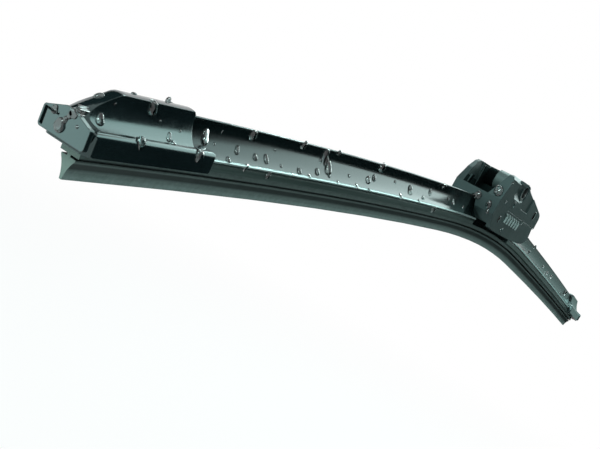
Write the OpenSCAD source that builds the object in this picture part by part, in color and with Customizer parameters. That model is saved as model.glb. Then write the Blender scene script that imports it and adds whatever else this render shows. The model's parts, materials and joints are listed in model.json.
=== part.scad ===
// Flat wiper blade for a family car: two spring-steel rails carry the rubber,
// a two-piece spoiler wraps them, a moulded cap closes each end and a moulded
// connector at the middle holds a tubular pivot and a tilting adapter.
// The origin is the middle of the pivot. X runs along the blade, Z away from the glass.

/* [Blade] */
// Length of the rubber from the middle of the bend to the left end
left_len = 268; // [240:1:330]
// Length of the rubber from the middle of the bend to the right end
right_len = 282; // [240:1:330]
// Half length of the strongly bent middle
bend_half = 60; // [50:1:80]
// Radius of the strongly bent middle
mid_r = 700; // [600:10:1500]
// Radius of the left run
left_r = 3200; // [1500:50:8000]
// Radius of the right run
right_r = 9000; // [3000:100:12000]

/* [Rails] */
// Width of one spring rail
rail_w = 2.8; // [2.4:0.1:3]
// Thickness of one spring rail
rail_t = 0.8; // [0.7:0.05:0.9]
// Distance from the blade's middle to a rail's inner edge
rail_in = 0.7; // [0.6:0.05:0.9]
// Height of the rails' upper face on the blade's reference line
rail_top = -0.9; // [-1.0:0.05:-0.85]
// How far the rails stop short of each end of the rubber
rail_back = 1.5; // [0.5:0.1:4]
// Sliding clearance around the rails
slide_gap = 0.1; // [0.05:0.01:0.2]

/* [Rubber] */
// Width of the head above the rails
head_w = 3.6; // [3:0.1:4]
// Thickness of the head above the rails
head_t = 0.45; // [0.35:0.05:0.5]
// Width of the flange under the rails
seat_w = 5.4; // [5:0.1:5.5]
// Thickness of the flange under the rails
seat_t = 0.95; // [0.8:0.05:1.1]
// Width of the waist between the two flanges
waist_w = 3.8; // [3:0.1:4.6]
// Height of the waist
waist_t = 0.4; // [0.3:0.05:0.6]
// Width of the lower flange
flange_w = 5.8; // [5:0.1:6.2]
// Thickness of the lower flange
flange_t = 1.7; // [1.2:0.1:1.8]
// Thickness of the web that lets the lip flip over
web_w = 1; // [0.8:0.1:1.4]
// Height of the web
web_t = 0.5; // [0.4:0.05:0.8]
// Width of the wedge at its shoulders
wedge_w = 4.4; // [3.8:0.1:5]
// Height of the wedge from its shoulders to the wiping edge
wedge_h = 5.1; // [4:0.1:6]
// Height of the wedge's square shoulders
shoulder_t = 0.35; // [0.2:0.05:0.5]
// Width of the wiping edge
edge_w = 0.7; // [0.5:0.05:0.9]
// Radius of the wedge's hollow sides
wedge_r = 9; // [7:0.5:14]

/* [Spoiler] */
// Height of the spoiler's ridge above the reference line
ridge_h = 8.5; // [7.5:0.1:9.5]
// Thickness of the ridge
ridge_w = 0.8; // [0.6:0.1:1.2]
// Width of the spoiler's foot
foot_w = 8.4; // [8.2:0.1:8.8]
// Height of the foot's edge above the reference line
foot_lip = 0.1; // [0.06:0.01:0.3]
// Radius of the spoiler's hollow faces
face_r = 9; // [8:0.5:14]
// Radius of the bead along the foot
bead_r = 0.4; // [0.35:0.05:0.5]
// Wall of the claws that wrap the rails
claw_w = 0.4; // [0.35:0.05:0.5]
// Width of the two fine lines that run along each claw
line_w = 0.3; // [0.2:0.05:0.4]
// Depth of the fine lines
line_in = 0.12; // [0.05:0.01:0.15]
// Thickness of the claws' hooks under the rails
hook_t = 1.2; // [1:0.05:1.25]
// Inner edge of the claws' hooks, from the blade's middle
hook_in = 2.8; // [2.78:0.01:3]
// How far each spoiler half reaches into the connector's mouth
spoiler_in = 4; // [2:0.5:6]
// How far each spoiler half reaches into an end cap
cap_in = 9; // [4:0.5:14]

/* [End caps] */
// Length of a cap's lower block inboard of the rubber's end
block_len = 38; // [34:1:46]
// Length of a cap's hood inboard of the rubber's end
hood_len = 31; // [28:1:33]
// Width of a cap
cap_w = 13.4; // [12.6:0.1:15]
// Height of a cap's top shoulders above the reference line
block_top = 2.3; // [1.8:0.1:2.8]
// Depth of a cap's underside below the reference line
block_bot = 2.9; // [2.65:0.05:3.1]
// Height of the hood above the spoiler's ridge
hood_over = 1.4; // [1:0.1:2]
// Half thickness of the hood's crest
hood_w = 1.7; // [1.5:0.1:2.2]
// Distance from the rubber's end to the outer face of the end plate
plate_out = 4.2; // [3.6:0.1:5]
// Depth of the end plate below the reference line
plate_bot = 2; // [1.8:0.1:2.4]
// Rise of the end plate's gabled top
gable = 1.8; // [1:0.1:2.2]
// How far the end plate stands out beyond the block on each side
plate_over = 0.35; // [0.1:0.05:0.6]
// Width of the groove inside the end plate's rim
groove_w = 0.9; // [0.6:0.1:1.1]
// Thickness of the end plate
plate_t = 1.2; // [1:0.1:1.6]
// Height of the end plate's top above the reference line
plate_top = 2.9; // [2.4:0.1:3.2]
// Width of the slot behind the end plate
slot_w = 1.2; // [0.8:0.1:1.4]
// Height of the nose's tip above the reference line
nose_z = 2.4; // [2.3:0.1:3]
// Radius of the nose's tip
nose_start = 2.2; // [1.6:0.1:2.6]
// Where the hollow faces begin, from the rubber's end
hollow_x = -1.8; // [-2.4:0.1:-0.6]
// Slope of the hood's nose in degrees
nose_slope = 26; // [23:1:30]
// Radius of the round between the nose and the crest
nose_round = 5.6; // [4:0.2:7]
// Radius of a block's upper corners
corner_r = 1.5; // [1.2:0.1:1.8]
// Clearance inside a cap
cap_gap = 0.2; // [0.15:0.01:0.3]

/* [Connector] */
// Left end of the connector, from the middle of the bend
conn_l = 38; // [38:0.5:44]
// Right end of the connector, from the middle of the bend
conn_r = 30; // [28:0.5:34]
// Width of the connector
conn_w = 22; // [21:0.5:26]
// Height of the seam between base and side covers
seam_z = 8.8; // [8:0.1:9.5]
// Height of the front wall
wall_z = 11; // [10.4:0.1:12]
// Thickness of the front wall
wall_t = 1.8; // [1.2:0.1:2.4]
// Height of the cheeks
cheek_z = 23.2; // [22.4:0.1:24]
// Wall of the side covers
cover_t = 2.4; // [2:0.1:3]
// Left edge of the side covers, from the middle of the bend
cover_x = -21.7; // [-23.5:0.1:-21]
// Gap between a side cover and the base
seam_gap = 0.12; // [0.05:0.01:0.25]
// Depth of the two mouths that take the spoiler halves
mouth_d = 7; // [6.5:0.5:9]
// Width of a mouth at its foot
mouth_w = 18; // [15:0.5:18.6]
// Length of the steel saddle that ties the two rails together
saddle_len = 28; // [20:1:36]
// Thickness of the saddle
saddle_t = 0.8; // [0.6:0.1:1]
// Number of grip ribs on each side
ribs = 6; // [4:1:7]
// Spacing of the grip ribs
rib_pitch = 4.1; // [3.8:0.1:4.4]
// Width of a grip rib
rib_w = 1.5; // [1.2:0.1:2]
// How far the grip ribs stand out
rib_out = 0.6; // [0.3:0.1:1]

/* [Pivot and adapter] */
// Distance of the pivot to the left of the middle of the bend
pivot_x = 11; // [10:0.5:12]
// Height of the pivot above the reference line
pivot_z = 19.5; // [18.8:0.1:20]
// Bore of the pivot tube
bore_d = 5.4; // [5:0.1:5.6]
// Wall of the pivot tube
tube_wall = 0.6; // [0.5:0.1:0.8]
// How far the pivot tube's ends lie inside the connector's faces
tube_back = 0.4; // [0.1:0.1:0.8]
// Wall of the collar that the side covers have around each end of the tube
collar_w = 0.8; // [0.5:0.1:1.2]
// Running clearance between the tube and the adapter
run_gap = 0.1; // [0.05:0.01:0.2]
// Wall of the bosses that carry the tube
boss_wall = 0.8; // [0.6:0.1:1.2]
// Radius of the adapter's round nose
nose_r = 4.8; // [4.6:0.1:5]
// Width of the adapter
adapter_w = 7; // [6.4:0.1:8]
// Length of the adapter behind the pivot
adapter_len = 24; // [18:1:26]
// Side gap between the adapter and the bosses
side_gap = 0.35; // [0.2:0.05:0.6]
// Share of the adapter's length that its latch tongue takes
tongue_part = 0.58; // [0.5:0.01:0.6]

/* [Hidden] */
arc_fn = 2400;
fn_fine = 64;
deg = 180 / PI;
rail_bot = rail_top - rail_t;
rail_out = rail_in + rail_w;
head_z = rail_top + slide_gap;
seat_z = rail_bot - slide_gap;
waist_z = seat_z - seat_t;
flange_z = waist_z - waist_t;
web_z = flange_z - flange_t;
wedge_z = web_z - web_t;
edge_z = wedge_z - wedge_h;
claw_in = rail_out + slide_gap;
claw_out = claw_in + claw_w;
claw_z = rail_bot - slide_gap - hook_t;
line_step = (-claw_z - bead_r) / 3;
roof_z = rail_top + slide_gap;
pocket_z = head_z + head_t + slide_gap;
hood_z = ridge_h + hood_over;
tube_d = bore_d + 2 * tube_wall;
hub_w = adapter_w / 2 + side_gap;
half_w = conn_w / 2;
mouth_l = -conn_l + mouth_d;
mouth_r = conn_r - mouth_d;
cover_r = conn_r + 0.5;
part_grey = [0.17, 0.21, 0.21];

// Centre of the circle of radius r through p and q, to the right of the way from p to q
function arc_mid(p, q, r) =
    let (d = q - p, l = norm(d), h = sqrt(r * r - l * l / 4))
    (p + q) / 2 + h / l * [d[1], -d[0]];

// A section drawn as [y, z] swept from the plane x = 0 towards +x, bending down with radius r
module sweep(r, dist)
    translate([0, 0, -r]) rotate([90, 0, 0]) rotate([0, 0, 90]) mirror([0, 1, 0])
        rotate_extrude(angle = dist / r * deg, $fn = arc_fn)
            translate([r, 0]) rotate(-90) children();

// A frame on the reference line, at a distance dist along an arc of radius r
module turn_frame(r, dist)
    translate([r * sin(dist / r * deg), 0, r * (cos(dist / r * deg) - 1)])
        rotate([0, dist / r * deg, 0]) children();

// A section swept along the right-hand side from a to b, where r is the radius beyond the middle
module run(r, a, b) {
    if (b <= bend_half) turn_frame(mid_r, a) sweep(mid_r, b - a) children();
    else if (a >= bend_half)
        turn_frame(mid_r, bend_half) turn_frame(r, a - bend_half) sweep(r, b - a) children();
    else {
        turn_frame(mid_r, bend_half) sweep(r, b - bend_half) children();
        intersection() {
            turn_frame(mid_r, bend_half) mirror([1, 0, 0])
                sweep(mid_r, bend_half - a + (a > 0 ? 0 : 4)) children();
            translate([0, -50, -100]) cube([200, 100, 200]);
        }
    }
}

// A section swept along the blade from s0 to s1; the left-hand side is mirrored
module along(s0, s1) {
    if (s0 < 0) mirror([1, 0, 0]) run(left_r, max(0, -s1), -s0) children();
    if (s1 > 0) run(right_r, max(0, s0), s1) children();
}

// Moves the blade so that the pivot's middle is the origin
module place() translate([pivot_x, 0, -pivot_z]) children();

// A rectangle centred on the blade's middle, from height z0 up to z1
module bar(w, z0, z1) translate([-w / 2, z0]) square([w, z1 - z0]);

// A trapezium whose two slanted sides are hollowed by circles of radius r
module hollow_wedge(w0, z0, w1, z1, r)
    difference() {
        polygon([[-w0 / 2, z0], [w0 / 2, z0], [w1 / 2, z1], [-w1 / 2, z1]]);
        for (m = [0, 1]) mirror([m, 0])
            translate(z1 > z0 ? arc_mid([w0 / 2, z0], [w1 / 2, z1], r)
                              : arc_mid([w1 / 2, z1], [w0 / 2, z0], r))
                circle(r, $fn = 2 * fn_fine);
    }

module rubber_section() {
    bar(head_w, head_z, head_z + head_t);
    bar(2 * (rail_in - slide_gap), seat_z, head_z);
    bar(seat_w, waist_z, seat_z);
    bar(waist_w, flange_z, waist_z);
    bar(flange_w, web_z, flange_z);
    bar(web_w, wedge_z, web_z);
    bar(wedge_w, wedge_z - shoulder_t, wedge_z);
    hollow_wedge(wedge_w, wedge_z - shoulder_t, edge_w, edge_z, wedge_r);
}

module rail_section(side)
    translate([side > 0 ? rail_in : -rail_out, rail_bot]) square([rail_w, rail_t]);

// The upper body of the spoiler, grown by g on each side
module fin_section(g) {
    hollow_wedge(foot_w + 2 * g, 0, ridge_w - 0.2 + 2 * g, ridge_h - ridge_w / 2, face_r - g);
    translate([0, ridge_h - ridge_w / 2]) circle(d = ridge_w + 2 * g, $fn = fn_fine);
}

module spoiler_section() {
    fin_section(0);
    difference() {
        bar(foot_w, roof_z, foot_lip);
        bar(head_w + 2 * slide_gap, roof_z - 1, pocket_z);
    }
    for (m = [0, 1]) mirror([m, 0]) {
        translate([foot_w / 2 - bead_r / 2, 0.02 - bead_r]) circle(bead_r, $fn = fn_fine);
        difference() {
            translate([claw_in, claw_z]) square([claw_w, -claw_z - bead_r]);
            for (i = [1, 2]) translate([claw_out - line_in, claw_z + i * line_step - line_w / 2])
                square([line_in + 1, line_w]);
        }
        translate([hook_in, claw_z]) square([claw_out - hook_in, hook_t]);
    }
}

// The room that the rails and the rubber need in a piece that holds them
module rail_room(g) {
    bar(2 * rail_out + 2 * g, rail_bot - g, rail_top + g);
    bar(head_w + 2 * g, rail_top, head_z + head_t + g);
    bar(2 * hook_in, rail_bot - 4, rail_top);
}

module wiper_rubber() color([0.12, 0.14, 0.14]) place()
    along(-left_len, right_len) rubber_section();

module spring_rail(side) color([0.35, 0.37, 0.38]) place()
    along(-left_len + rail_back, right_len - rail_back) rail_section(side);

module spoiler_left() color(part_grey) place()
    along(-left_len + hood_len - cap_in, mouth_l - mouth_d + spoiler_in) spoiler_section();

module spoiler_right() color(part_grey) place()
    along(mouth_r + mouth_d - spoiler_in, right_len - hood_len + cap_in) spoiler_section();

// Half outline of the hood about the axis of its crest, as [radius, x]
module hood_outline(loaf_r) {
    slope = [sin(nose_slope), cos(nose_slope)];
    start = [nose_start, -plate_out];
    reach = (loaf_r - nose_round - nose_start + nose_round * slope[1]) / slope[0];
    round_x = start[1] + reach * slope[1] + nose_round * slope[0];
    intersection() {
        union() {
            polygon([[0, start[1]], start, start + reach * slope, [loaf_r, round_x],
                [loaf_r, hood_len - 0.7], [loaf_r - 0.7, hood_len], [0, hood_len]]);
            translate([loaf_r - nose_round, round_x]) circle(nose_round + 0.01, $fn = 2 * fn_fine);
        }
        translate([0, start[1]]) square([loaf_r + 1, hood_len - start[1]]);
    }
}

// Hood of a cap: a round loaf with a conical nose and two hollow faces
module cap_hood() {
    loaf_r = hood_z - nose_z;
    foot = [foot_w / 2 + 0.9, block_top - 0.3];
    face = arc_mid(foot, [hood_w, hood_z - 0.5], face_r - 1);
    difference() {
        intersection() {
            translate([0, 0, nose_z]) rotate([0, 90, 0])
                rotate_extrude($fn = 2 * fn_fine) hood_outline(loaf_r);
            translate([-plate_out, -foot[0], 0]) cube([hood_len + plate_out + 1, 2 * foot[0], hood_z + 1]);
        }
        for (m = [0, 1]) mirror([0, m, 0]) translate([hollow_x, face[0], face[1]]) {
            rotate([0, 90, 0]) cylinder(r = face_r - 1, h = hood_len - hollow_x + 1, $fn = 2 * fn_fine);
            sphere(face_r - 1, $fn = 2 * fn_fine);
        }
    }
}

// Lower block of a cap, with rounded shoulders and corners
module cap_block(body_x) {
    foot_x = body_x - 1.1;
    plan_r = 2.4;
    intersection() {
        translate([foot_x, 0, 0]) rotate([90, 0, 90]) linear_extrude(block_len - foot_x) {
            bar(cap_w, -block_bot, block_top - corner_r);
            bar(cap_w - 2 * corner_r, -block_bot, block_top);
            for (m = [-1, 1]) translate([m * (cap_w / 2 - corner_r), block_top - corner_r])
                circle(corner_r, $fn = fn_fine);
        }
        translate([0, cap_w, 0]) rotate([90, 0, 0]) linear_extrude(2 * cap_w) {
            polygon([[foot_x, -block_bot - 1], [foot_x, -block_bot], [body_x, block_top - corner_r],
                [body_x + corner_r, block_top], [body_x + corner_r, block_top + 1],
                [block_len - corner_r, block_top + 1], [block_len - corner_r, block_top],
                [block_len, block_top - corner_r], [block_len - 0.2, -block_bot + 0.9],
                [block_len - 0.9, -block_bot], [block_len - 0.9, -block_bot - 1]]);
            for (x = [body_x + corner_r, block_len - corner_r])
                translate([x, block_top - corner_r]) circle(corner_r + 0.01, $fn = fn_fine);
        }
        translate([0, 0, -block_bot - 1]) linear_extrude(block_bot + block_top + 2) {
            translate([foot_x + plan_r, -cap_w]) square([block_len, 2 * cap_w]);
            translate([foot_x, plan_r - cap_w / 2]) square([block_len, cap_w - 2 * plan_r]);
            for (m = [-1, 1]) translate([foot_x + plan_r, m * (cap_w / 2 - plan_r)])
                circle(plan_r + 0.01, $fn = fn_fine);
        }
    }
}

// End plate of a cap, with a groove inside its far and upper rim
module end_plate() {
    half = cap_w / 2 + plate_over;
    rim = 0.45;
    depth = plate_t - 0.3;
    difference() {
        translate([-plate_out, 0, 0]) rotate([90, 0, 90]) linear_extrude(plate_t) {
            bar(2 * half - 1.6, -plate_bot, plate_top);
            bar(2 * half, -plate_bot + 0.8, plate_top - 0.8);
            for (m = [-1, 1], z = [-plate_bot, plate_top - 1.6])
                translate([m * (half - 0.8), z + 0.8]) circle(0.8, $fn = fn_fine);
            polygon([[0.8 - half, plate_top - 0.1], [0.8 - half, plate_top], [-1, plate_top + gable],
                [1, plate_top + gable], [half - 0.8, plate_top], [half - 0.8, plate_top - 0.1]]);
        }
        translate([-plate_out - 1, half - rim - groove_w, 0.5 - plate_bot])
            cube([1 + depth, groove_w, plate_top + plate_bot - 0.5 - rim]);
        translate([-plate_out - 1, 1.6, plate_top - rim - groove_w / 2])
            cube([1 + depth, half - rim - 1.6, groove_w / 2]);
    }
}

// A cap in the frame of the rubber's end, with x running inboard
module end_cap() {
    body_x = -plate_out + plate_t + slot_w;
    difference() {
        union() {
            cap_block(body_x);
            cap_hood();
            end_plate();
            // neck below the hood, beside the rubber's head
            translate([-plate_out + plate_t - 0.2, -3.6, head_z]) cube([slot_w + 1.4, 7.2, 3]);
        }
        // room for the rails, the rubber and the spoiler's end
        translate([-0.4, 0, 0]) rotate([90, 0, 90]) linear_extrude(block_len + 1) rail_room(cap_gap);
        translate([hood_len - cap_in - 0.5, 0, 0]) rotate([90, 0, 90])
            linear_extrude(block_len) {
                fin_section(cap_gap);
                bar(2 * claw_out + 2 * cap_gap, -block_bot - 1, 0.1);
                bar(foot_w + 2 * bead_r + 2 * cap_gap, -2 * bead_r - cap_gap, foot_lip + cap_gap);
            }
    }
}

// A cap at the end of the right-hand side; its straight body is laid on the blade at mid-grip
module laid_cap(r, len)
    turn_frame(mid_r, bend_half) turn_frame(r, len - block_len / 2 - bend_half)
        translate([block_len / 2, 0, 0]) mirror([1, 0, 0]) end_cap();

module end_cap_left() color(part_grey) place() mirror([1, 0, 0]) laid_cap(left_r, left_len);

module end_cap_right() color(part_grey) place() laid_cap(right_r, right_len);

// Outline of the connector seen from the side, as [x, z], in shares of its own lengths
module side_outline(slant)
    polygon(concat(
        [[-conn_l * 0.884, -0.1], [-conn_l, 3.8], [-conn_l, wall_z]],
        slant ? [[-conn_l * 0.858, wall_z + cheek_z * 0.3], [-conn_l * 0.737, cheek_z * 0.94],
                 [-conn_l * 0.658, cheek_z * 0.987], [-conn_l * 0.579, cheek_z]]
              : [[-conn_l * 0.958, cheek_z * 0.707], [-conn_l * 0.926, cheek_z * 0.948],
                 [-conn_l * 0.868, cheek_z * 0.978], [-conn_l * 0.632, cheek_z * 0.991]],
        [[-pivot_x - 2, cheek_z + 0.2], [-pivot_x + 2, cheek_z], [-pivot_x + 8.5, cheek_z * 0.927],
         [conn_r * 0.267, cheek_z * 0.849], [conn_r * 0.88, cheek_z * 0.707],
         [conn_r * 0.953, cheek_z * 0.672], [conn_r, cheek_z * 0.603], [conn_r + 0.4, seam_z + 0.8],
         [conn_r + 0.4, seam_z], [conn_r - 2.4, seam_z - 0.7], [conn_r - 0.6, 4.4],
         [conn_r - 1.6, 1.6], [conn_r - 5.6, -0.4], [conn_r * 0.567, -1.3], [-3, -2],
         [-conn_l * 0.579, -2.2], [-conn_l * 0.842, -1.7]]));

module side_slab(y0, y1, slant)
    translate([0, y1, 0]) rotate([90, 0, 0]) linear_extrude(y1 - y0) side_outline(slant);

// A mouth for the end of a spoiler half
module mouth_section() {
    hollow_wedge(mouth_w, 0.4, ridge_w + 1.6, ridge_h + 0.5, face_r - 1);
    bar(mouth_w, -4, 0.45);
}

// The region that a side cover fills, shrunk by g
module cover_region(g)
    translate([cover_x + g, -half_w - 2, seam_z + g])
        cube([cover_r - cover_x + 10, 2 * half_w + 4, 30]);

// Long shallow dish around the end of the pivot tube, and to its left
module dish() {
    dish_r = 6;
    for (m = [0, 1]) mirror([0, m, 0]) translate([-pivot_x, -half_w - dish_r + 1.2, pivot_z - 1]) {
        sphere(dish_r, $fn = 2 * fn_fine);
        translate([-10, 0, -0.4]) {
            sphere(dish_r, $fn = 2 * fn_fine);
            rotate([0, 90, 0]) cylinder(r = dish_r, h = 10, $fn = 2 * fn_fine);
        }
    }
}

// Chevron grip ribs below the seam
module grip_ribs()
    for (i = [0 : ribs - 1], m = [0, 1]) mirror([0, m, 0])
        translate([-pivot_x - 9 + i * rib_pitch, -half_w + 0.1, 3.4])
            rotate([90, 0, 0]) linear_extrude(rib_out + 0.1)
                polygon([[0, 0], [0.8, 3.1], [-1.7, 4.2],
                    [-1.7 + rib_w, 4.2], [0.8 + rib_w, 3.1], [rib_w, 0]]);

module connector_base() color(part_grey) place() {
    difference() {
        union() {
            difference() {
                union() {
                    // body between the cheeks
                    intersection() {
                        side_slab(-half_w, half_w, false);
                        translate([-conn_l - 1, -half_w - 1, -5])
                            cube([conn_l + conn_r + 4, conn_w + 2, seam_z + 5]);
                    }
                    // near cheek, thinner towards its top
                    intersection() {
                        side_slab(-half_w, 0, false);
                        translate([-conn_l - 1, 0, 0]) rotate([90, 0, 90])
                            linear_extrude(conn_l + 1 + cover_x)
                                polygon([[-half_w, 0], [-4.6, 0], [-4.6, wall_z + 0.3],
                                    [-half_w + 2.2, cheek_z], [-half_w + 1.5, cheek_z],
                                    [-half_w, cheek_z - 2.1]]);
                    }
                    // far cheek with a slanting front edge
                    intersection() {
                        side_slab(0, half_w, true);
                        translate([-conn_l - 1, 0, 0]) rotate([90, 0, 90])
                            linear_extrude(conn_l + 1 + cover_x)
                                polygon([[half_w, 0], [7.8, 0], [7.8, wall_z], [half_w - 1.4, cheek_z + 0.3],
                                    [half_w, cheek_z + 0.3]]);
                    }
                    translate([-conn_l, -half_w + 0.5, 4]) cube([wall_t, conn_w - 1, wall_z - 4]);
                }
                cover_region(0);
            }
            along(mouth_l - 1, mouth_r + 1) bar(2 * claw_out + 1.4, claw_z, 1);
            grip_ribs();
            // fins inside the far cheek
            for (x = [4, 6.6]) translate([-conn_l + x, 7.6, wall_z - 1.8])
                rotate([0, 24, 0]) cube([0.7, 1.4, 7]);
        }
        along(mouth_l - 0.1, mouth_r + 0.1) rail_room(slide_gap);
        along(mouth_l - mouth_d - 6, mouth_l) mouth_section();
        along(mouth_r, mouth_r + mouth_d + 6) mouth_section();
        along(-saddle_len / 2 - 0.1, saddle_len / 2 + 0.1)
            bar(2 * claw_in + 2 * saddle_t + 0.2, claw_z - 1, pocket_z + saddle_t + 0.1);
        dish();
    }
}

// Pressed steel saddle that ties the two rails together inside the base
module rail_saddle() color([0.4, 0.42, 0.43]) place()
    along(-saddle_len / 2, saddle_len / 2) {
        bar(2 * claw_in + 2 * saddle_t, pocket_z, pocket_z + saddle_t);
        for (m = [0, 1]) mirror([m, 0]) {
            translate([claw_in, seat_z - saddle_t]) square([saddle_t, pocket_z - seat_z + saddle_t]);
            translate([hook_in, seat_z - saddle_t]) square([claw_in + saddle_t - hook_in, saddle_t]);
        }
    }

// A side cover; the near one is drawn and the far one mirrors it
module side_cover() color(part_grey) place()
    difference() {
        union() {
            difference() {
                union() {
                    intersection() {
                        side_slab(-half_w, -half_w + cover_t, false);
                        cover_region(seam_gap);
                    }
                    // raised pad on the inner face
                    intersection() {
                        translate([0, 0, -1.2]) side_slab(-half_w + 1, -half_w + cover_t + 0.7, false);
                        cover_region(seam_gap + 1.6);
                    }
                    // foot that stands on the base
                    translate([cover_x + seam_gap, -half_w, seam_z + seam_gap])
                        cube([conn_r - 4 - cover_x, half_w - hub_w - 1, 1.6]);
                    // boss that carries the tube
                    translate([-pivot_x, -hub_w, pivot_z]) rotate([90, 0, 0])
                        cylinder(r = tube_d / 2 + boss_wall, h = half_w - hub_w - 1, $fn = fn_fine);
                }
                dish();
                // shallow step behind the collar
                translate([-pivot_x + 4, -half_w - 1, seam_z + 3.9]) cube([13.5, 1.5, cheek_z]);
            }
            // collar around the end of the tube
            translate([-pivot_x, -half_w + 2, pivot_z]) rotate([90, 0, 0])
                cylinder(r = tube_d / 2 + collar_w, h = 2 - tube_back, $fn = fn_fine);
        }
        translate([-pivot_x, 1, pivot_z]) rotate([90, 0, 0])
            cylinder(d = tube_d, h = half_w + 5, $fn = fn_fine);
    }

module side_cover_near() side_cover();

module side_cover_far() mirror([0, 1, 0]) side_cover();

module pivot_tube() color([0.45, 0.47, 0.48]) place()
    translate([-pivot_x, half_w - tube_back, pivot_z]) rotate([90, 0, 0]) difference() {
        cylinder(d = tube_d, h = conn_w - 2 * tube_back, $fn = fn_fine);
        translate([0, 0, -1]) cylinder(d = bore_d, h = conn_w + 2, $fn = fn_fine);
    }

// Round-nosed block that tilts on the pivot tube and ends in a sprung latch tongue
module hook_adapter() color([0.3, 0.34, 0.34])
    difference() {
        union() {
            translate([0, adapter_w / 2, 0]) rotate([90, 0, 0])
                cylinder(r = nose_r, h = adapter_w, $fn = 2 * fn_fine);
            translate([0, -adapter_w / 2, -nose_r + 1.2])
                cube([adapter_len, adapter_w, 2 * nose_r - 2.4]);
            translate([0, -adapter_w / 2, nose_r - 1.3]) cube([adapter_len - 6, adapter_w, 1.3]);
            translate([adapter_len - 9, 0, nose_r - 0.2]) cylinder(d = 4, h = 1, $fn = fn_fine);
        }
        translate([0, adapter_w, 0]) rotate([90, 0, 0])
            cylinder(d = tube_d + 2 * run_gap, h = 2 * adapter_w, $fn = fn_fine);
        // slots that leave the latch tongue free
        for (m = [-1, 1]) translate([adapter_len * (1 - tongue_part), m * 2.7 - 0.4, -nose_r])
            cube([adapter_len * tongue_part + 1, 0.8, 2 * nose_r + 2]);
        translate([nose_r + 2, -adapter_w / 2 + 1.4, -nose_r])
            cube([adapter_len - 9, adapter_w - 2.8, nose_r + 1]);
    }

wiper_rubber();
spring_rail(-1);  // spring_rail_near
spring_rail(1);  // spring_rail_far
spoiler_left();
spoiler_right();
end_cap_left();
end_cap_right();
connector_base();
rail_saddle();
side_cover_near();
side_cover_far();
pivot_tube();
hook_adapter();
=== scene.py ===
# %% [markdown]
# A flat wiper blade, dressed for the camera
#
# A flat wiper blade is one long curved strip: two hidden spring rails, a rubber that wipes,
# a plastic spoiler on top, a cap at each end and a connector with a tilting adapter in it.
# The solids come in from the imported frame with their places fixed, so this lesson only gives
# them their finish, sprinkles them with water and sets up a small studio around them.

# %% Load the frame
import json
import math
import random

import bmesh
import bpy
from mathutils import Matrix, Quaternion, Vector
from mathutils.bvhtree import BVHTree


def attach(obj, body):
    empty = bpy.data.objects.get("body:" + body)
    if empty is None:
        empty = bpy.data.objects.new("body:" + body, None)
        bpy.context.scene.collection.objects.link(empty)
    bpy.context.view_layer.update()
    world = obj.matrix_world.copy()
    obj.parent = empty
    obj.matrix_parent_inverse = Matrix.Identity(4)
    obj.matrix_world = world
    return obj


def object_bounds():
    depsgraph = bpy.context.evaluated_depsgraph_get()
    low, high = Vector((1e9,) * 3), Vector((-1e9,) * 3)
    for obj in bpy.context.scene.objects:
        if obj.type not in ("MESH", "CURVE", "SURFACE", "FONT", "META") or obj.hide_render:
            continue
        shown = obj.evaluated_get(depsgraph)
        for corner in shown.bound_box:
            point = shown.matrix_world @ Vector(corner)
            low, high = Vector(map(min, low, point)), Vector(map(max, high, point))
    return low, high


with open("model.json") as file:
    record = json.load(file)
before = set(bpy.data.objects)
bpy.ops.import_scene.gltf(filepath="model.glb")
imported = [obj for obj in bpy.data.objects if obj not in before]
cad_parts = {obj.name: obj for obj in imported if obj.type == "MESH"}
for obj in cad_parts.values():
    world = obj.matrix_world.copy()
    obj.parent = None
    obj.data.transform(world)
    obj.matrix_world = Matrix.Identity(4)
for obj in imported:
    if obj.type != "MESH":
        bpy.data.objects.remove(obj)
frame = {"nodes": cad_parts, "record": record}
nodes = frame["nodes"]
scene = bpy.context.scene
cad_box = [list(corner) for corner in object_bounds()]
mm = 0.001
low, high = (Vector(corner) for corner in cad_box)
print("blade box in mm:", [round(x / mm, 1) for x in high - low])

# %% [markdown]
# The camera
#
# The photograph was taken close to the left end, looking along the blade, and the camera was
# tipped on its side a little. An aim point and a roll say that in a form that can be read and
# changed: first the camera looks at the aim point with its top up, then it rolls about its
# own line of sight. A lens of 53 mm on a 36 mm sensor gives the strong foreshortening. The
# focal length in pixels is kept too, because the water drops are found by their pixels.

# %% Camera
camera_at = Vector((-387.985, -124.257, -26.767)) * mm
camera_aim = Vector((-35.713, 62.211, -60.451)) * mm
camera_roll = math.radians(28.63)
lens_mm, sensor_mm = 52.97, 36
photo_w, photo_h = 600, 449
pixel_focal = lens_mm / sensor_mm * photo_w

camera = bpy.data.objects.new("camera", bpy.data.cameras.new("camera"))
scene.collection.objects.link(camera)
camera.data.sensor_width = sensor_mm
camera.data.lens = lens_mm
camera.data.clip_end = 100
camera.location = camera_at
camera.rotation_mode = "QUATERNION"
line_of_sight = (camera_aim - camera_at).normalized()
camera.rotation_quaternion = line_of_sight.to_track_quat("-Z", "Y") @ Quaternion((0, 0, 1), camera_roll)
scene.camera = camera
scene.view_settings.view_transform = "Standard"
bpy.context.view_layer.update()
print("camera to the blade's left end, mm:", round((camera_at - Vector((low.x, 0, 0))).length / mm))

# %% [markdown]
# Writing shader maths as Python
#
# A material is a graph of nodes, and maths in it gets long when every node is made by hand.
# One small class wraps a socket, so that a + b or 1 - mask adds the Math node and hands back
# its result. Every other node comes from one method, which sets the node's own settings first
# and then the values or links of its sockets.

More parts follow.
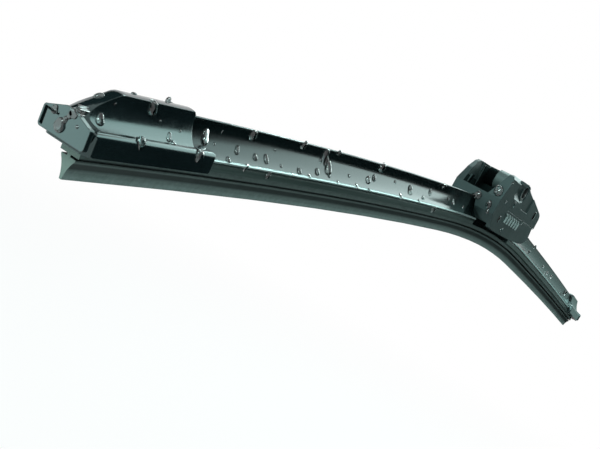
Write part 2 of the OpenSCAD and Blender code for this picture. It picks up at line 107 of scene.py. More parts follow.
# %% Sockets with operators
class Socket:
    """A shader socket that adds Math nodes when it is used in an expression."""

    def __init__(self, tree, socket):
        self.tree, self.socket = tree, socket

    def math(self, operation, *others):
        return node(self.tree, "ShaderNodeMath", {"operation": operation}, [self, *others]).out()

    def __add__(self, other):
        return self.math("ADD", other)

    def __sub__(self, other):
        return self.math("SUBTRACT", other)

    def __rsub__(self, other):
        return node(self.tree, "ShaderNodeMath", {"operation": "SUBTRACT"}, [other, self]).out()

    def __mul__(self, other):
        return self.math("MULTIPLY", other)

    def __gt__(self, other):
        return self.math("GREATER_THAN", other)

    def __lt__(self, other):
        return self.math("LESS_THAN", other)

    __radd__, __rmul__ = __add__, __mul__


class Node:
    """A shader node with a short way to its outputs."""

    def __init__(self, tree, made):
        self.tree, self.made = tree, made

    def out(self, name=0):
        return Socket(self.tree, self.made.outputs[name])


def node(tree, kind, settings, values):
    """Adds a node: settings are its own fields, values fill its sockets by name or in order."""
    made = tree.nodes.new(kind)
    for field, value in settings.items():
        if field == "stops":
            set_stops(made.color_ramp, value)
        else:
            setattr(made, field, value)
    pairs = values.items() if isinstance(values, dict) else enumerate(values)
    for name, value in pairs:
        if isinstance(value, Socket):
            tree.links.new(value.socket, made.inputs[name])
        else:
            made.inputs[name].default_value = value
    return Node(tree, made)


def set_stops(color_ramp, stops):
    """Gives a colour ramp its stops, each a place and a grey value."""
    while len(color_ramp.elements) < len(stops):
        color_ramp.elements.new(0.5)
    for element, (place, shade) in zip(color_ramp.elements, stops):
        element.position = place
        element.color = (shade, shade, shade, 1)


# %% [markdown]
# Patterns and colours
#
# Every finish starts from one Principled shader. What is the same all over the surface is set
# on that shader, and noises and ramps drive what varies. The patterns read the object's own
# coordinates in metres, so they have the same scale on every piece and stay where they are
# when the camera moves. Colours are written from 0 to 255, as they are read off a picture,
# and are turned into linear light on the way in.

# %% Patterns and colours
def finish_of(name, settings):
    """An empty material with one Principled shader; settings fill its constant sockets."""
    material = bpy.data.materials.new(name)
    material.use_nodes = True
    tree = material.node_tree
    shader = tree.nodes["Principled BSDF"]
    for socket, value in settings.items():
        shader.inputs[socket].default_value = value
    return material, tree, shader


def feed(tree, shader, **sockets):
    """Links values that vary over the surface, such as base_color, to the shader."""
    for name, value in sockets.items():
        tree.links.new(value.socket, shader.inputs[name.replace("_", " ").title()])


def split(tree, vector):
    """The three numbers of a vector."""
    parts = node(tree, "ShaderNodeSeparateXYZ", {}, [vector])
    return parts.out("X"), parts.out("Y"), parts.out("Z")


def object_coordinates(tree):
    """Where a point is on its object, in metres."""
    return node(tree, "ShaderNodeTexCoord", {}, {}).out("Object")


def place_of(tree, scale=(1, 1, 1)):
    """Object coordinates stretched by scale, so that a pattern can run along the blade."""
    return node(tree, "ShaderNodeMapping", {"vector_type": "POINT"},
                {"Vector": object_coordinates(tree), "Scale": scale}).out()


def facing_right(tree):
    """The X part of a face's normal: 1 where it looks to the right end, -1 to the left one."""
    return split(tree, node(tree, "ShaderNodeNewGeometry", {}, {}).out("True Normal"))[0]


def noise_on(tree, place, scale, detail=2.0, roughness=0.5):
    """A soft noise between 0 and 1 with features of 1 / scale metres."""
    return node(tree, "ShaderNodeTexNoise", {},
                {"Vector": place, "Scale": scale, "Detail": detail, "Roughness": roughness}).out("Fac")


def ramp(tree, value, stops):
    """Maps a value through grey stops."""
    return node(tree, "ShaderNodeValToRGB", {"stops": stops}, [value]).out("Color")


def mix(tree, factor, first, second):
    """Mixes two colours; a Mix node's colour sockets share names with others, so they go by number."""
    return node(tree, "ShaderNodeMix", {"data_type": "RGBA"}, {0: factor, 6: first, 7: second}).out(2)


def grey(r, g, b):
    """A colour written as in a paint program, from 0 to 255, turned into linear light."""
    def linear(c):
        c = c / 255
        return c / 12.92 if c <= 0.04045 else ((c + 0.055) / 1.055) ** 2.4
    return (linear(r), linear(g), linear(b), 1)


# %% [markdown]
# The bend of the blade
#
# The extruded parts have marks that run along the blade, and the blade is bent. So the pattern
# needs a height above the bent reference line instead of plain Z. The bend is three arcs: a
# tight one in the middle and a slacker one on each side. The height above an arc is the
# distance to its centre less its radius, and a comparison with X picks the arc.

# %% Arcs of the bend
pivot_x, pivot_z = 11 * mm, 19.5 * mm
bend_half = 60 * mm
middle_radius, left_radius, right_radius = 0.7, 3.2, 9.0
bend_angle = bend_half / middle_radius
bend_reach = middle_radius * math.sin(bend_angle)
bend_drop = middle_radius * (1 - math.cos(bend_angle))
bend_left, bend_right = pivot_x - bend_reach, pivot_x + bend_reach


def arc_beyond(radius, side):
    """Radius and centre of an arc that starts at the bend's end, side -1 left or 1 right."""
    return (radius, pivot_x + side * (bend_reach - radius * math.sin(bend_angle)),
            -pivot_z - bend_drop - radius * math.cos(bend_angle))


blade_arcs = [(middle_radius, pivot_x, -pivot_z - middle_radius),
              arc_beyond(left_radius, -1), arc_beyond(right_radius, 1)]
print("bend angle in degrees:", round(math.degrees(bend_angle), 2))


def bent_coordinates(tree):
    """Where a point is along the blade, across it and above its bent reference line."""
    x, y, z = split(tree, object_coordinates(tree))
    heights = []
    for radius, centre_x, centre_z in blade_arcs:
        from_x, from_z = x - centre_x, z - centre_z
        heights.append((from_x * from_x + from_z * from_z).math("SQRT") - radius)
    is_left, is_right = x < bend_left, x > bend_right
    height = heights[0] + is_left * (heights[1] - heights[0]) + is_right * (heights[2] - heights[0])
    return x, y, height


def stretched(tree, bent, along, across):
    """Bent coordinates scaled by along and across, so that a noise becomes lines on the blade."""
    x, y, height = bent
    return node(tree, "ShaderNodeCombineXYZ", {}, [x * along, y * across, height * across]).out()


# %% [markdown]
# Edges that catch the light
#
# The solids have perfectly sharp edges, and no moulded part does. A Bevel node looks at the
# surface around a point and bends its normal near an edge, so a thin line along each edge
# catches a highlight without a change to the mesh. The fine relief of the finish goes on top
# of that normal through a Bump node. Extruded, cut and rolled parts have crisper edges than
# moulded ones.

# %% Relief on a rounded edge
moulded_edge_mm, crisp_edge_mm = 0.25, 0.12


def relief(tree, shader, height, depth_mm, edge_mm):
    """Links a bump of the given depth, laid over edges rounded to the radius edge_mm."""
    rounded = node(tree, "ShaderNodeBevel", {"samples": 6}, {"Radius": edge_mm * mm}).out()
    bump = node(tree, "ShaderNodeBump", {},
                {"Strength": 1.0, "Distance": depth_mm * mm, "Height": height, "Normal": rounded})
    tree.links.new(bump.out().socket, shader.inputs["Normal"])


# %% [markdown]
# Moulded plastic
#
# The caps, the connector and the adapter have a fine spark-eroded grain of a few tenths of a
# millimetre, so their highlights are soft. One noise makes the grain, a slow one lets the
# shade drift, and a third one smudges the gloss. The connector has two masks of its own, found
# by the distance from its middle plane. Between its cheeks it lies in deep shade, which is
# painted: a dark plastic would still shine there, so those faces are given a nearly black, rough
# metal, which has no clear sheen; the faces of the front are left out. The rims that stand out
# furthest get a painted highlight, a pale colour.

# %% Moulded plastic
soft_step = [(0.3, 0), (0.7, 1)]
teal_gloss = (0.72, 1.0, 0.98, 1)
# Painted shade between the connector's cheeks and a painted highlight on its outer rims.
painted_cheek_shade, painted_rim_highlight = grey(7, 12, 13), grey(150, 166, 164)
painted_shade_reach, rim_highlight_reach = 8.3 * mm, 11.2 * mm
front_x, front_facing = -20 * mm, -0.5


def gloss(level):
    """The constant sockets of a slightly teal sheen of the given level."""
    return {"Specular IOR Level": level, "Specular Tint": teal_gloss}


def connector_light_masks(tree, place):
    """Masks of the connector's painted shade between the cheeks and painted highlight on its outer rims.
    """
    x, y, z = split(tree, place)
    from_middle = y.math("ABSOLUTE")
    is_front = (facing_right(tree) < front_facing) * (x < front_x)
    return (from_middle < painted_shade_reach) * (1 - is_front), from_middle > rim_highlight_reach


def grained_plastic(name, dark, light, grain_mm, roughness, depth_mm, settings, painted_light_masks=None):
    """Plastic with an even grain and a slow drift of its shade; the optional masks add painted shade and
    a painted highlight.
    """
    material, tree, shader = finish_of(name, settings)
    place = place_of(tree)
    grain = noise_on(tree, place, scale=1 / (grain_mm * mm), detail=3.0, roughness=0.6)
    drift = noise_on(tree, place, scale=60, detail=2.0)
    smudge = noise_on(tree, place, scale=210, detail=4.0, roughness=0.65)
    shade = ramp(tree, drift * 0.55 + grain * 0.45, soft_step)
    color = mix(tree, shade, dark, light)
    dullness = smudge * 0.16 + grain * 0.08 + (roughness - 0.12)
    if painted_light_masks:
        # The first mask paints shade between the cheeks, the second paints a pale highlight on the rims.
        inside, rim_highlight_mask = painted_light_masks(tree, place)
        color = mix(tree, rim_highlight_mask, mix(tree, inside, color, painted_cheek_shade), painted_rim_highlight)
        dullness = dullness + inside * 0.55
        feed(tree, shader, metallic=inside * 0.9)
    feed(tree, shader, base_color=color, roughness=dullness)
    relief(tree, shader, grain, depth_mm, moulded_edge_mm)
    return material


cap_plastic = grained_plastic("cap_plastic", grey(17, 27, 29), grey(26, 37, 39), grain_mm=0.2,
                              roughness=0.12, depth_mm=0.004, settings=gloss(0.75))
connector_plastic = grained_plastic("connector_plastic", grey(36, 49, 49), grey(48, 62, 62),
                                    grain_mm=0.26, roughness=0.36, depth_mm=0.01,
                                    settings=gloss(0.4), painted_light_masks=connector_light_masks)
adapter_plastic = grained_plastic("adapter_plastic", grey(78, 92, 91), grey(96, 112, 110),
                                  grain_mm=0.3, roughness=0.3, depth_mm=0.01, settings=gloss(0.5))
print("moulded finishes:", cap_plastic.name, connector_plastic.name, adapter_plastic.name)

# %% [markdown]
# Extruded plastic
#
# The spoiler comes out of an extruder. It is smoother than the moulded parts and has faint
# lines along its length, which a noise on stretched coordinates gives. The height above the
# bend tells its parts from each other: the claws at the bottom are paler and duller, and the
# bead above them, where it stands out to the side, gets a painted highlight, a pale and slightly
# metallic colour that shows as a bright line.

# %% Extruded plastic
claw_top_z = -1.0 * mm
bead_side, bead_low_z, bead_high_z = 4.0 * mm, -0.7 * mm, 0.1 * mm
# The pale colour of the bead is a painted highlight.
claw_dark, claw_light, bead_painted_highlight = grey(46, 60, 57), grey(82, 97, 94), grey(176, 192, 190)


def drawn_plastic(name, dark, light, roughness, settings):
    """Extruded plastic: faint lines along it, a fine grain, paler, duller claws and a painted highlight
    on the bead.
    """
    material, tree, shader = finish_of(name, settings)
    bent = bent_coordinates(tree)
    x, y, height = bent
    lines = noise_on(tree, stretched(tree, bent, along=8, across=1800), scale=1.0, detail=3.0)
    streaks = noise_on(tree, stretched(tree, bent, along=10, across=420), scale=1.0, detail=3.0,
                       roughness=0.6)
    grain = noise_on(tree, place_of(tree), scale=5200, detail=2.0)
    shade = ramp(tree, lines * 0.5 + streaks * 0.5, soft_step)
    claw = height < claw_top_z
    # Where the bead stands out, a pale, slightly metallic colour paints its highlight.
    bead_highlight_mask = (y.math("ABSOLUTE") > bead_side) * (height > bead_low_z) * (height < bead_high_z)
    claws = mix(tree, shade, claw_dark, claw_light)
    both = mix(tree, claw, mix(tree, shade, dark, light), claws)
    feed(tree, shader, base_color=mix(tree, bead_highlight_mask, both, bead_painted_highlight), metallic=bead_highlight_mask * 0.45,
         roughness=streaks * 0.1 + lines * 0.06 + claw * 0.2 - bead_highlight_mask * 0.04 + (roughness - 0.08))
    relief(tree, shader, lines * 0.7 + grain * 0.3, 0.008, crisp_edge_mm)
    return material


spoiler_plastic = drawn_plastic("spoiler_plastic", grey(11, 19, 20), grey(18, 28, 29), 0.15, gloss(0.25))
print("extruded finish:", spoiler_plastic.name)

# %% [markdown]
# Rubber
#
# The rubber is extruded too, and its wiping lip is dusted with graphite, so it is duller than
# the plastic and slightly mottled. A ramp over the height paints light and shade in bands: a
# pale head, a dark neck, a paler line below it and a pale lip, lit as from below, over the dark
# rubber. Where the strip was cut to length the fresh face is paler.
# The cut faces are the only ones that look along the blade, so a mask on the normal finds them.

# %% Rubber
# Painted light and shade: the grey levels of the bands by height.
band_top_z, band_bottom_z = -3.5 * mm, -10.0 * mm
rubber_light_and_shade_bands = [(0.0, 0.5), (0.15, 0.55), (0.2, 0.0), (0.26, 0.0), (0.3, 0.35), (0.38, 0.4),
                (0.44, 0.06), (0.62, 0.1), (0.74, 0.6), (0.95, 1.0)]
cut_facing = 0.9
cut_pale = grey(112, 126, 120)


def strip_rubber():
    """Matt rubber with lines along its length, painted bands of light and shade by height and pale cut
    ends.
    """
    material, tree, shader = finish_of("strip_rubber", gloss(0.3))
    bent = bent_coordinates(tree)
    lines = noise_on(tree, stretched(tree, bent, along=6, across=1500), scale=1.0, detail=3.0)
    place = place_of(tree)
    dust = noise_on(tree, place, scale=900, detail=5.0, roughness=0.65)
    pores = noise_on(tree, place, scale=4200, detail=2.0)
    down = node(tree, "ShaderNodeMapRange", {}, [bent[2], band_top_z, band_bottom_z, 0.0, 1.0]).out()
    painted_bands = ramp(tree, down, rubber_light_and_shade_bands)
    cut = facing_right(tree).math("ABSOLUTE") > cut_facing
    shade = ramp(tree, dust * 0.6 + lines * 0.4, soft_step)
    side = mix(tree, shade, grey(9, 16, 16), grey(20, 29, 28))
    # The pale colour is painted light; the dark one is the rubber's own colour.
    painted_pale_light = mix(tree, shade, grey(92, 108, 105), grey(128, 145, 142))
    feed(tree, shader, base_color=mix(tree, cut, mix(tree, painted_bands, side, painted_pale_light), cut_pale),
         roughness=dust * 0.16 + 0.52 + cut * 0.15)
    relief(tree, shader, lines * 0.6 + pores * 0.4, 0.012, crisp_edge_mm)
    return material


rubber = strip_rubber()
print("rubber bands:", len(rubber_light_and_shade_bands), "stops over",
      round((band_top_z - band_bottom_z) / mm, 1), "mm of height")

# %% [markdown]
# Steel
#
# The pivot is a rolled steel tube, and the rails and the saddle that ties them are blued
# spring steel. Both are metal with a brushed look: a noise that is stretched along the
# direction of working.

# %% Steel
def worked_steel(name, dark, light, stretch, roughness):
    """Metal with fine marks, stretched as the tuple stretch says."""
    material, tree, shader = finish_of(name, {"Metallic": 1.0})
    marks = noise_on(tree, place_of(tree, stretch), scale=1.0, detail=4.0, roughness=0.7)
    spots = noise_on(tree, place_of(tree), scale=700, detail=3.0)
    feed(tree, shader, base_color=mix(tree, ramp(tree, spots, [(0.35, 0), (0.65, 1)]), dark, light),
         roughness=marks * 0.2 + (roughness - 0.1))
    relief(tree, shader, marks, 0.006, crisp_edge_mm)
    return material


pivot_steel = worked_steel("pivot_steel", grey(120, 128, 128), grey(170, 176, 175),
                           (4000, 300, 4000), 0.32)
spring_steel = worked_steel("spring_steel", grey(88, 92, 94), grey(118, 122, 124),
                            (40, 3000, 3000), 0.35)
print("metal finishes:", pivot_steel.name, spring_steel.name)

# %% [markdown]
# Dressing the nodes
#
# Every node of the frame already has the right shape and place, so only the material in its
# slot changes. One table says which finish each node wears, and the printed count shows that
# none was forgotten.

# %% Give each node its finish
finishes = {
    "wiper_rubber": rubber,
    "spring_rail_near": spring_steel, "spring_rail_far": spring_steel, "rail_saddle": spring_steel,
    "spoiler_left": spoiler_plastic, "spoiler_right": spoiler_plastic,
    "end_cap_left": cap_plastic, "end_cap_right": cap_plastic,
    "connector_base": connector_plastic,
    "side_cover_near": connector_plastic, "side_cover_far": connector_plastic,
    "pivot_tube": pivot_steel,
    "hook_adapter": adapter_plastic,
}
for name, material in finishes.items():
    slots = nodes[name].data.materials
    slots.clear()
    slots.append(material)
print("nodes with a finish:", len(finishes), "of", len(nodes))

# %% [markdown]
# Where the water lies
#
# The blade is covered in water drops. To find a place for one, a ray goes out from the camera
# through a point of the picture and stops at the first solid that it meets, as in a picking
# tool. All the solids go into one search tree, with a list of which node each face came from,
# because the drops are made after the solids but must not be picked themselves.

# %% A search tree of the solids
def search_tree():
    """One tree of every shown solid, the node that owns each face, and each face's centre and area."""
    solids, owners = bmesh.new(), []
    for name in sorted(nodes):
        solids.from_mesh(nodes[name].data)
        owners += [name] * (len(solids.faces) - len(owners))
    tree = BVHTree.FromBMesh(solids)
    faces = [(face.calc_center_median(), face.calc_area()) for face in solids.faces]
    solids.free()
    return tree, owners, faces


tree_of_solids, owner_of, solid_faces = search_tree()
print("faces in the search tree:", len(solid_faces))


def ray_of_pixel(u, v):
    """The direction in which the camera sees a point of the picture."""
    inside = Vector((u - photo_w / 2, photo_h / 2 - v, -pixel_focal))
    return (camera.matrix_world.to_3x3() @ inside).normalized()


def pick(u, v):
    """The point, outward normal, node and distance that the camera sees there, or None."""
    direction = ray_of_pixel(u, v)
    point, normal, index, distance = tree_of_solids.ray_cast(camera_at, direction)
    if point is None:
        return None
    if normal.dot(direction) > 0:
        normal = -normal
    return point, normal, owner_of[index], distance


# %% [markdown]
# One drop
#
# Water drops on plastic are low domes with a wavy outline. Here the outline is the smooth
# union of a few round lobes: a heavy one at the lower end, a smaller tail above it, one
# between them and two small ones beside them, as where drops have run into each other. An
# icosphere is stretched to that outline. Then each of its points is set down along the normal
# onto the solid, so that the dome follows a hollow or a ridge, and its underside lies a hair
# inside the surface. No point may leave the box of the blade, so that water never makes the
# blade longer or wider.

# %% Outline of a drop
outline_steps = 64
smoothing_turns = 12
heavy_share, tail_share, waist_share, least_share = 0.5, 0.34, 0.42, 0.3


def drop_outline(breadth, length):
    """How far a drop reaches in each of outline_steps directions, the first one downhill."""
    heavy, tail = heavy_share * breadth, tail_share * breadth
    lobes = [(0.5 * length - heavy, 0, heavy), (tail - 0.5 * length, 0, tail),
             (0, 0, waist_share * breadth)]
    for side in (-1, 1):
        ahead = random.uniform(-0.3, 0.3) * length
        beside = side * random.uniform(0.1, 0.3) * breadth
        lobes.append((ahead, beside, random.uniform(0.2, 0.34) * breadth))
    reach = []
    for step in range(outline_steps):
        angle = 2 * math.pi * step / outline_steps
        out = []
        for x, y, radius in lobes:
            ahead = x * math.cos(angle) + y * math.sin(angle)
            under_root = radius ** 2 - x ** 2 - y ** 2 + ahead ** 2
            if under_root > 0 and ahead + math.sqrt(under_root) > 0:
                out.append(ahead + math.sqrt(under_root))
        reach.append(max(out, default=least_share * breadth))
    for turn in range(smoothing_turns):
        reach = [(reach[k - 1] + 2 * reach[k] + reach[(k + 1) % outline_steps]) / 4
                 for k in range(outline_steps)]
    return reach


# %% [markdown]
# Laying a drop down
#
# A drop points downhill, turned a little at random. On a level place there is no downhill, so
# it points along the blade. A short ray from just above the surface finds the ground under
# each point of the dome. Where the outline is broad the rim of the dome is a little higher.

# %% Dome of a drop
sink = 0.03 * mm
level_slope = 0.15
turn_spread = 0.3
outline_swell = 0.45
probe_above, probe_reach = 3 * mm, 6 * mm


def downhill(normal):
    """The direction in which water runs on a surface with this normal."""
    slope = Vector((0, 0, -1)) + normal * normal.z
    if slope.length < level_slope:
        slope = Vector((1, 0, 0)) - normal * normal.x
    return slope.normalized()


def add_drop(water, point, normal, breadth, length, height, detail):
    """Adds one dome of water to the bmesh water; sizes are in metres."""
    made = bmesh.ops.create_icosphere(water, subdivisions=detail, radius=1.0)["verts"]
    reach = drop_outline(breadth, length)
    ahead = downhill(normal)
    ahead.rotate(Quaternion(normal, random.uniform(-turn_spread, turn_spread)))
    side = normal.cross(ahead)
    middle_reach = sum(reach) / outline_steps
    for vert in made:
        x, y, z = vert.co
        rim = math.hypot(x, y)
        at = math.atan2(y, x) / (2 * math.pi) * outline_steps
        before, share = int(math.floor(at)), at - math.floor(at)
        wide = reach[before % outline_steps] * (1 - share) + reach[(before + 1) % outline_steps] * share
        swell = 1 + outline_swell * rim ** 2 * (wide / middle_reach - 1)
        across = (ahead * x + side * y) * wide
        start = point + across + normal * probe_above
        below = tree_of_solids.ray_cast(start, -normal, probe_reach)[0]
        ground = below if below else point + across
        place = ground + normal * (max(z, 0) * swell * height - sink)
        vert.co = [min(max(place[axis], low[axis]), high[axis]) for axis in range(3)]


# %% [markdown]
# The drops that the picture shows
#
# Each row gives the place of one drop in the picture, and its breadth and length there in
# pixels. The distance to the surface turns pixels into millimetres. The rows run from the left
# cap to the far end, and then come small drops all along the blade. The last row links drops
# that have run together: a double one on the end plate and a forked one on the spoiler. A drop
# on the side faces that stand out furthest stays thin, because the box of the blade leaves it
# little room.

# %% Picked drops
seen_drops = [
    (55, 109, 8, 10), (60, 125, 13, 16), (75, 111, 12, 15), (81, 111, 4, 8), (77, 127, 4, 4),
    (99, 96, 8, 12), (134, 94, 5, 7), (100, 119, 10, 14), (153, 108, 11, 17), (141, 141, 12, 15),
    (169, 137, 6, 12), (173, 143, 5, 6), (200, 155, 11, 16), (205, 137, 9, 19), (253, 135, 10, 12),
    (237, 150, 6, 11), (255, 157, 6, 8), (266, 159, 6, 11), (228, 160, 6, 8), (247, 166, 5, 6),
    (268, 175, 7, 9), (286, 136, 4, 5), (304, 145, 7, 11), (339, 153, 5, 7), (325, 154, 9, 12),
    (328, 168, 9, 15), (299, 171, 6, 8), (317, 172, 6, 8), (292, 175, 4, 5), (310, 177, 4, 5),
    (338, 183, 4, 5), (382, 167, 9, 11), (368, 180, 6, 9), (374, 178, 5, 8), (357, 187, 5, 6),
    (369, 190, 4, 4), (410, 190, 6, 11), (401, 197, 5, 6), (430, 192, 4, 8), (423, 198, 4, 4),
    (419, 201, 3, 3), (433, 209, 7, 8), (453, 202, 3, 7), (448, 199, 3, 6), (444, 186, 5, 5),
    (478, 195, 8, 10), (499, 191, 10, 12), (512, 184, 4, 4), (489, 204, 6, 9), (487, 212, 4, 6),
    (506, 202, 3, 3), (514, 205, 5, 8), (534, 216, 6, 9), (499, 219, 5, 8), (501, 230, 4, 5),
    (516, 175, 6, 7), (507, 171, 6, 8), (535, 247, 4, 5), (529, 252, 3, 4), (544, 257, 3, 4),
    (543, 267, 3, 3), (547, 273, 3, 4), (551, 277, 3, 4), (565, 293, 4, 6), (115, 104, 3, 3),
    (160, 121, 3, 3), (180, 131, 3, 4), (214, 144, 3, 3), (222, 132, 3, 4), (275, 150, 3, 3),
    (281, 166, 3, 4), (349, 176, 3, 4), (395, 182, 3, 4), (463, 207, 3, 3), (521, 224, 3, 3),
    (65, 120, 6, 9), (70, 115, 6, 9), (326, 161, 6, 11), (329, 175, 4, 7), (321, 160, 4, 7),
]
drop_rise = 0.4
thin_rise = 0.45 * mm
sideways, outer_share = 0.9, 0.8
coarse_detail, fine_detail = 3, 4
fine_from_px = 5
seen_room = 0.25
random.seed(11)
water_on = {}
drop_places = []


def lay_drop(point, normal, owner, breadth, length, detail, room):
    """Adds a drop to the water of the node that carries it, unless another lies too near."""
    if any((point - other).length < room * (breadth + wide) for other, wide in drop_places):
        return
    height = drop_rise * breadth
    if abs(normal.y) > sideways and abs(point.y) > outer_share * high.y:
        height = min(height, thin_rise)
    add_drop(water_on.setdefault(owner, bmesh.new()), point, normal, breadth, length, height, detail)
    drop_places.append((point, breadth))


for u, v, wide, long in seen_drops:
    found = pick(u, v)
    if found:
        point, normal, owner, distance = found
        scale = distance / pixel_focal
        detail = fine_detail if wide > fine_from_px else coarse_detail
        lay_drop(point, normal, owner, wide * scale, long * scale, detail, seen_room)
drops_seen = len(drop_places)
print("drops picked from the picture:", drops_seen, "of", len(seen_drops))

# %% [markdown]
# Drops on the sides that the picture hides
#
# Rain falls on every side. Seeded picks of faces, weighted by their area, give the places of
# the other drops. Each pick is shifted a few millimetres at random and set back on the nearest
# face, because the long faces of an extruded part have their middles in rows. A place is used
# only if the camera doesn't see it and if the air outside it is free, so that no drop sits
# inside a mouth or between two parts.

# %% Scattered drops
hidden_places = 170
tries_per_place = 12
scatter_mm = 4
drop_sizes_mm = (0.8, 1.0, 1.2, 1.5, 2.0, 2.6)
fine_from = 1.8 * mm
hidden_room = 0.5
lift_to_see = 2.5 * mm
sight_margin = 0.5 * mm
skin_margin, free_air = 0.2 * mm, 25 * mm
wet_nodes = {"spoiler_left", "spoiler_right", "end_cap_left", "end_cap_right", "connector_base",
             "side_cover_near", "side_cover_far"}


def seen_by_camera(point):
    """True if nothing stands between the camera and the point."""
    way = point - camera_at
    return tree_of_solids.ray_cast(camera_at, way.normalized(), way.length - sight_margin)[0] is None


def free_outside(point, normal):
    """True if no solid is near on the outside."""
    return tree_of_solids.ray_cast(point + normal * skin_margin, normal, free_air)[0] is None


wet_faces = [face for face, owner in zip(solid_faces, owner_of) if owner in wet_nodes]
centres, areas = zip(*wet_faces)
picks = random.choices(centres, weights=areas, k=tries_per_place * hidden_places)
scattered = 0
for centre in picks:
    if scattered == hidden_places:
        break
    spot = centre + Vector([random.uniform(-scatter_mm, scatter_mm) * mm for axis in range(3)])
    found, facing, index = tree_of_solids.find_nearest(spot)[:3]
    if owner_of[index] not in wet_nodes or seen_by_camera(found + facing * lift_to_see):
        continue
    if free_outside(found, facing):
        size = random.choice(drop_sizes_mm) * mm
        length = random.uniform(1.1, 1.9) * size
        detail = fine_detail if size > fine_from else coarse_detail
        lay_drop(found, facing, owner_of[index], size, length, detail, hidden_room)
        scattered += 1
print("drops on the hidden sides:", len(drop_places) - drops_seen, "on", scattered, "places")

# %% [markdown]
# Clear water
#
# Water is a see-through dielectric. Its real index is 1.33. Here it is a little higher, with a
# clear coat on top, because drops this small then keep the bright spots that they have in the
# picture. The tint wavers between dark and clear; the dark is painted, and stands in for dark
# surroundings seen through the drops, which gives some of them their dark patches.
# The drops of one node are one piece, which rides on the body of that node, so that they move
# with it.

# %% Water pieces
# The deep tint is painted: dark patches that stand in for dark surroundings seen through the water.
painted_dark_refraction, clear_tint = (0.08, 0.12, 0.12, 1), (0.9, 0.97, 0.96, 1)


def clear_water():
    """Nearly colourless water with painted dark patches of refraction."""
    material, tree, shader = finish_of("clear_water", {"IOR": 1.36, "Transmission Weight": 1.0,
                                                       "Roughness": 0.0, "Coat Weight": 0.7,
                                                       "Coat Roughness": 0.0})
    patches = noise_on(tree, place_of(tree), scale=420, detail=2.0)
    clear = ramp(tree, patches, [(0.44, 0), (0.54, 1)])
    feed(tree, shader, base_color=mix(tree, clear, painted_dark_refraction, clear_tint))
    return material


body_of_node = {name: body for body, names in frame["record"]["behaviour"]["bodies"].items()
                for name in names}
water_material = clear_water()
for owner, water in sorted(water_on.items()):
    bmesh.ops.recalc_face_normals(water, faces=water.faces)
    for face in water.faces:
        face.smooth = True
    piece = bpy.data.objects.new("water_on_" + owner, bpy.data.meshes.new("water_on_" + owner))
    water.to_mesh(piece.data)
    water.free()
    scene.collection.objects.link(piece)
    piece.data.materials.append(water_material)
    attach(piece, body_of_node[owner])
    print(piece.name, len(piece.data.polygons), "faces")

# %% [markdown]
# Floor and world
#
# The photograph is a cut-out on pure white, yet the plastic in it goes from black to light
# grey, because it mirrors a dark room with a bright soft box in it. So the background and the
# light are kept apart here. The floor and the world are white to the camera, to glossy and to
# see-through rays, and the world lights the blade only softly. The floor lies well below the
# blade and keeps a faint shadow, which fades into plain white further out.

# %% Floor and world
floor_drop, floor_width = 0.25, 24
floor_color = (0.9, 0.9, 0.9, 1)
white = (1, 1, 1, 1)
shadow_share = 0.15
shadow_near, shadow_far = 0.5, 1.6
world_strength = 0.25


def seen_rays(tree):
    """1 for camera, glossy and see-through rays, 0 for the diffuse and shadow rays."""
    path = node(tree, "ShaderNodeLightPath", {}, {})
    seen = path.out("Is Camera Ray").math("MAXIMUM", path.out("Is Glossy Ray"))
    return seen.math("MAXIMUM", path.out("Is Transmission Ray"))


def flat_sheet(name, size, place):
    """A flat rectangle of the given size, set down by the matrix place."""
    mesh = bmesh.new()
    bmesh.ops.create_grid(mesh, x_segments=1, y_segments=1, size=0.5)
    bmesh.ops.scale(mesh, vec=(*size, 1), verts=mesh.verts)
    bmesh.ops.transform(mesh, matrix=place, verts=mesh.verts)
    made = bpy.data.objects.new(name, bpy.data.meshes.new(name))
    mesh.to_mesh(made.data)
    mesh.free()
    scene.collection.objects.link(made)
    return made


def pale_floor():
    """A wide white floor that keeps a faint shadow below the object and is pure white further out."""
    ground = Matrix.Translation((0, 0, low.z - floor_drop))
    floor = flat_sheet("floor", (floor_width, floor_width), ground)
    material, tree, shader = finish_of("floor_white", {"Base Color": floor_color, "Roughness": 0.9})
    x, y, z = split(tree, object_coordinates(tree))
    away = (x * x + y * y).math("SQRT")
    fade = node(tree, "ShaderNodeMapRange", {"interpolation_type": "SMOOTHSTEP"},
                [away, shadow_near, shadow_far, 1.0 - shadow_share, 1.0]).out()
    lit = Socket(tree, shader.outputs[0])
    glow = node(tree, "ShaderNodeEmission", {}, {"Color": white, "Strength": 1.0}).out()
    both = node(tree, "ShaderNodeMixShader", {}, [seen_rays(tree) * fade, lit, glow]).out()
    tree.links.new(both.socket, tree.nodes["Material Output"].inputs["Surface"])
    floor.data.materials.append(material)


def studio_world():
    """A world that is white to look at and lights the object softly."""
    world = bpy.data.worlds.new("studio")
    world.use_nodes = True
    scene.world = world
    tree = world.node_tree
    soft = node(tree, "ShaderNodeBackground", {}, {"Color": white, "Strength": world_strength}).out()
    plain = node(tree, "ShaderNodeBackground", {}, {"Color": white, "Strength": 1.0}).out()
    both = node(tree, "ShaderNodeMixShader", {}, [seen_rays(tree), soft, plain]).out()
    tree.links.new(both.socket, tree.nodes["World Output"].inputs["Surface"])


pale_floor()
studio_world()
print("floor below the blade, mm:", round(floor_drop / mm))

# %% [markdown]
# Lamps and cards
#
# The big key lamp hangs on the right, above the level of the blade, and lights the lower part
# of every hollow. The small spark lamp draws the bright line along the foot of the spoiler and
# the sparks in the drops. One lamp lights the top and one the left end, and a low one is
# mirrored by the end plate. Cards shape what the plastic mirrors. A black flag below the key
# lamp fills the part of the room that the upper part of the hollows mirrors, and a black wall
# beside it does the same for the cap. A tinted scrim lets through about a third of the white
# that the far end mirrors. A roof and a table, both black and seen only in reflections, darken
# the connector and the undersides.

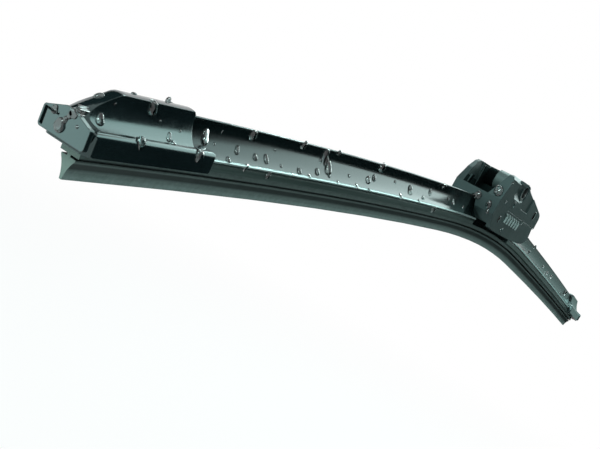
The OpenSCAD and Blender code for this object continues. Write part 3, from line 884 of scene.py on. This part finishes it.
# %% Lamps and cards
middle = Vector((-0.1, 0, -0.01))
cool = (0.76, 1.0, 0.98)
white_watts_per_area = 4
table_drop = 0.2
black, tinted = (0, 0, 0), (0.26, 0.4, 0.38)


def at_angles(azimuth, elevation, distance):
    """A place seen from the middle of the blade at two angles in degrees and a distance."""
    turn, rise = math.radians(azimuth), math.radians(elevation)
    return middle + distance * Vector((math.cos(rise) * math.cos(turn), math.cos(rise) * math.sin(turn),
                                       math.sin(rise)))


def soft_box(name, at, size, brightness):
    """A rectangular area lamp that faces the middle; brightness 1 mirrors as plain white."""
    lamp = bpy.data.lights.new(name, "AREA")
    lamp.shape = "RECTANGLE"
    lamp.size, lamp.size_y = size
    lamp.color = cool
    lamp.energy = brightness * white_watts_per_area * size[0] * size[1]
    box = bpy.data.objects.new(name, lamp)
    box.location = at
    box.rotation_euler = (middle - at).to_track_quat("-Z", "Y").to_euler()
    box.visible_camera = False
    scene.collection.objects.link(box)


def card(name, at, facing, size, lets_through, only_mirrored):
    """A card that lets a share of the light through, none if black; the camera sees past it."""
    turn = Vector(facing).to_track_quat("Z", "Y").to_matrix().to_4x4()
    made = flat_sheet(name, size, Matrix.Translation(at) @ turn)
    material, tree, shader = finish_of(name, {})
    gel = node(tree, "ShaderNodeBsdfTransparent", {}, {"Color": (*lets_through, 1)})
    tree.links.new(gel.out().socket, tree.nodes["Material Output"].inputs["Surface"])
    made.data.materials.append(material)
    made.visible_camera = False
    if only_mirrored:
        made.visible_diffuse = made.visible_transmission = made.visible_shadow = False


lamps = [
    ("key", Vector((1.05, -0.22, 0.8)), (1.2, 1.04), 2.4),
    ("spark", at_angles(6, 41.5, 1.3), (0.16, 0.16), 40.0),
    ("top", Vector((0.5, 0.5, 1.1)), (0.5, 0.5), 3.0),
    ("front", Vector((-1.4, -0.1, 0.75)), (0.5, 0.5), 13.0),
    ("low", Vector((-0.6, 0.37, -0.17)), (0.4, 0.28), 1.4),
]
cards = [
    ("flag", Vector((1.228, -1.139, 0.06)), (-0.76, 0.65, 0), (1.67, 0.72), black, False),
    ("wall", Vector((0.468, -1.09, 0.5)), (-0.583, 0.813, 0), (1.06, 1.6), black, False),
    ("scrim", Vector((1.99, -0.18, 0.05)), (-1, 0.1, 0), (0.7, 0.7), tinted, False),
    ("roof", Vector((-0.07, 0.82, 1.0)), (-0.13, -0.63, -0.77), (0.9, 0.9), black, True),
    ("table", Vector((0.75, -0.5, low.z - table_drop)), (0, 0, 1), (1.5, 1.5), black, True),
]
for row in lamps:
    soft_box(*row)
for row in cards:
    card(*row)
print("lamps:", len(lamps), "and cards:", len(cards))
